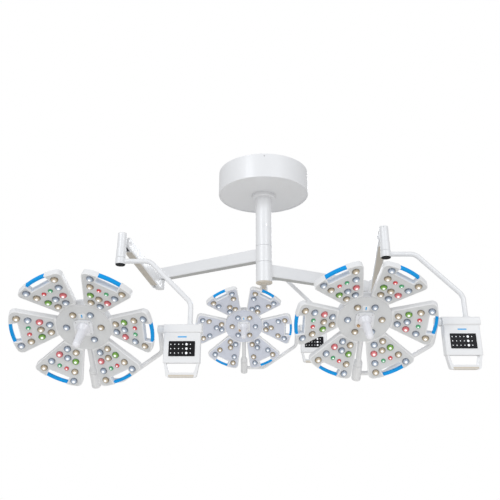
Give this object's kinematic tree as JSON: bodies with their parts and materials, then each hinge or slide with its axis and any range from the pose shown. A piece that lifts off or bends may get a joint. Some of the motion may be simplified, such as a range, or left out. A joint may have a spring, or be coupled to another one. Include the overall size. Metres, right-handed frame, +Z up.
{
  "type": "surgical light",
  "caption": "Ceiling-mounted surgical light: LED petal lamp heads on jointed extension and spring arms, with control boxes and sterile handles.",
  "frame": {"origin": "on the column's axis, at the top face of the ceiling plate, where the light meets the ceiling", "axes": "+Z up along the column, +X to the right and -Y towards someone standing in front of the light"},
  "size_m": [2.3444, 1.5167, 1.2523],
  "materials": {
    "white_enamel": "smooth powder coat",
    "white_plastic": "semi-gloss moulding",
    "bare_steel": "turned",
    "grey_casing": "folded sheet",
    "cream_plastic": "moulded",
    "black_plastic": "moulded",
    "black_keypad": "membrane foil",
    "grey_cover": "fine satin",
    "lens_plastic": "clear moulded optic",
    "blue_grip": "soft coated",
    "handle_plastic": "autoclavable"
  },
  "bodies": {
    "column": {"ceiling_plate": "bare_steel", "canopy": "white_enamel", "power_supplies": "grey_casing", "drop_tube": "white_enamel", "column_fasteners": "bare_steel", "tube_collar": "white_enamel", "spindle": "bare_steel", "hub_bearings": "bare_steel", "bottom_cap": "cream_plastic"},
    "left_extension": {"left_extension_arm": "white_enamel"},
    "left_knuckle": {"left_elbow_knuckle": "white_enamel"},
    "left_balance_arm": {"left_spring_arm": "white_enamel", "left_gas_spring": "bare_steel"},
    "left_hub": {"left_end_hub": "white_enamel"},
    "left_suspension": {"left_suspension_tube": "white_enamel", "left_hub_cap": "black_plastic", "left_control_box": "white_plastic", "left_keypad": "black_keypad"},
    "left_yoke": {"left_lamp_yoke": "white_enamel"},
    "left_lamp": {"left_head_stem": "white_enamel", "left_lamp_hub": "white_plastic", "left_petal_shells": "white_plastic", "left_petal_covers": "grey_cover", "left_lenses": "lens_plastic", "left_grips": "blue_grip"},
    "left_focus_handle": {"left_handle": "handle_plastic"},
    "right_extension": {"right_extension_arm": "white_enamel"},
    "right_knuckle": {"right_elbow_knuckle": "white_enamel"},
    "right_balance_arm": {"right_spring_arm": "white_enamel", "right_gas_spring": "bare_steel"},
    "right_hub": {"right_end_hub": "white_enamel"},
    "right_suspension": {"right_suspension_tube": "white_enamel", "right_hub_cap": "black_plastic", "right_control_box": "white_plastic", "right_keypad": "black_keypad"},
    "right_yoke": {"right_lamp_yoke": "white_enamel"},
    "right_lamp": {"right_head_stem": "white_enamel", "right_lamp_hub": "white_plastic", "right_petal_shells": "white_plastic", "right_petal_covers": "grey_cover", "right_lenses": "lens_plastic", "right_grips": "blue_grip"},
    "right_focus_handle": {"right_handle": "handle_plastic"},
    "small_extension": {"small_extension_arm": "white_enamel"},
    "small_knuckle": {"small_elbow_knuckle": "white_enamel"},
    "small_balance_arm": {"small_spring_arm": "white_enamel", "small_gas_spring": "bare_steel"},
    "small_hub": {"small_end_hub": "white_enamel"},
    "small_suspension": {"small_suspension_tube": "white_enamel", "small_hub_cap": "black_plastic", "small_control_box": "white_plastic", "small_keypad": "black_keypad"},
    "small_yoke": {"small_lamp_yoke": "white_enamel"},
    "small_lamp": {"small_head_stem": "white_enamel", "small_lamp_hub": "white_plastic", "small_petal_shells": "white_plastic", "small_petal_covers": "grey_cover", "small_lenses": "lens_plastic", "small_grips": "blue_grip"},
    "small_focus_handle": {"small_handle": "handle_plastic"}
  },
  "joints": [
    {"name": "left_arm_swing", "type": "hinge", "parent": "column", "child": "left_extension", "pos_m": [0, 0, -0.509], "axis": [0, 0, 1], "range_deg": [-30, 60]},
    {"name": "left_elbow_swing", "type": "hinge", "parent": "left_extension", "child": "left_knuckle", "pos_m": [-0.6593, 0.4168, -0.581], "axis": [0, 0, 1], "range_deg": [-100, 25]},
    {"name": "left_arm_lift", "type": "hinge", "parent": "left_knuckle", "child": "left_balance_arm", "pos_m": [-0.66997, 0.35166, -0.581], "axis": [-0.9869, 0.1616, 0], "range_deg": [-30, 12]},
    {"name": "left_hub_level", "type": "hinge", "parent": "left_balance_arm", "child": "left_hub", "pos_m": [-0.75457, -0.16493, -0.49809], "axis": [-0.9869, 0.1616, 0], "range_deg": [-12, 30]},
    {"name": "left_lamp_swing", "type": "hinge", "parent": "left_hub", "child": "left_suspension", "pos_m": [-0.76426, -0.22414, -0.49809], "axis": [0, 0, 1], "range_deg": [-90, 90]},
    {"name": "left_lamp_tilt", "type": "hinge", "parent": "left_suspension", "child": "left_yoke", "pos_m": [-0.76426, -0.22414, -0.97759], "axis": [1, 0, 0], "range_deg": [-40, 60]},
    {"name": "left_head_turn", "type": "hinge", "parent": "left_yoke", "child": "left_lamp", "pos_m": [-0.90926, -0.24901, -0.9544], "axis": [0, -0.7314, 0.682], "range_deg": [-90, 45]},
    {"name": "left_handle_turn", "type": "hinge", "parent": "left_lamp", "child": "left_focus_handle", "pos_m": [-0.90926, -0.26947, -0.97634], "axis": [0, -0.682, -0.7314], "range_deg": [-60, 60]},
    {"name": "right_arm_swing", "type": "hinge", "parent": "column", "child": "right_extension", "pos_m": [0, 0, -0.614], "axis": [0, 0, 1], "range_deg": [-45, 10]},
    {"name": "right_elbow_swing", "type": "hinge", "parent": "right_extension", "child": "right_knuckle", "pos_m": [0.68088, 0.38053, -0.675], "axis": [0, 0, 1], "range_deg": [-15, 100]},
    {"name": "right_arm_lift", "type": "hinge", "parent": "right_knuckle", "child": "right_balance_arm", "pos_m": [0.67639, 0.31468, -0.675], "axis": [-0.9977, 0.068, 0], "range_deg": [-40, 8]},
    {"name": "right_hub_level", "type": "hinge", "parent": "right_balance_arm", "child": "right_hub", "pos_m": [0.64343, -0.16875, -0.46027], "axis": [-0.9977, 0.068, 0], "range_deg": [-8, 40]},
    {"name": "right_lamp_swing", "type": "hinge", "parent": "right_hub", "child": "right_suspension", "pos_m": [0.63935, -0.22861, -0.46027], "axis": [0, 0, 1], "range_deg": [-90, 90]},
    {"name": "right_lamp_tilt", "type": "hinge", "parent": "right_suspension", "child": "right_yoke", "pos_m": [0.63935, -0.22861, -0.93978], "axis": [1, 0, 0], "range_deg": [-40, 60]},
    {"name": "right_head_turn", "type": "hinge", "parent": "right_yoke", "child": "right_lamp", "pos_m": [0.49435, -0.25348, -0.91659], "axis": [0, -0.7314, 0.682], "range_deg": [-90, 45]},
    {"name": "right_handle_turn", "type": "hinge", "parent": "right_lamp", "child": "right_focus_handle", "pos_m": [0.49435, -0.27394, -0.93853], "axis": [0, -0.682, -0.7314], "range_deg": [-60, 60]},
    {"name": "small_arm_swing", "type": "hinge", "parent": "column", "child": "small_extension", "pos_m": [0, 0, -0.405], "axis": [0, 0, 1], "range_deg": [-12, 30]},
    {"name": "small_elbow_swing", "type": "hinge", "parent": "small_extension", "child": "small_knuckle", "pos_m": [0.02272, 0.92972, -0.475], "axis": [0, 0, 1], "range_deg": [-110, 35]},
    {"name": "small_arm_lift", "type": "hinge", "parent": "small_knuckle", "child": "small_balance_arm", "pos_m": [0.02111, 0.86374, -0.475], "axis": [-0.9997, 0.0244, 0], "range_deg": [-40, 0]},
    {"name": "small_hub_level", "type": "hinge", "parent": "small_balance_arm", "child": "small_hub", "pos_m": [0.00816, 0.3339, -0.475], "axis": [-0.9997, 0.0244, 0], "range_deg": [0, 40]},
    {"name": "small_lamp_swing", "type": "hinge", "parent": "small_hub", "child": "small_suspension", "pos_m": [0.00669, 0.27392, -0.475], "axis": [0, 0, 1], "range_deg": [-12, 90]},
    {"name": "small_lamp_tilt", "type": "hinge", "parent": "small_suspension", "child": "small_yoke", "pos_m": [0.00669, 0.27392, -0.88257], "axis": [1, 0, 0], "range_deg": [-35, 60]},
    {"name": "small_head_turn", "type": "hinge", "parent": "small_yoke", "child": "small_lamp", "pos_m": [-0.11656, 0.25421, -0.86144], "axis": [0, -0.682, 0.7314], "range_deg": [-90, 45]},
    {"name": "small_handle_turn", "type": "hinge", "parent": "small_lamp", "child": "small_focus_handle", "pos_m": [-0.11656, 0.23556, -0.87883], "axis": [0, -0.7314, -0.682], "range_deg": [-60, 60]}
  ],
  "couplings": [
    {"joint": "left_hub_level", "follows": "left_arm_lift", "ratio": -1},
    {"joint": "right_hub_level", "follows": "right_arm_lift", "ratio": -1},
    {"joint": "small_hub_level", "follows": "small_arm_lift", "ratio": -1}
  ]
}
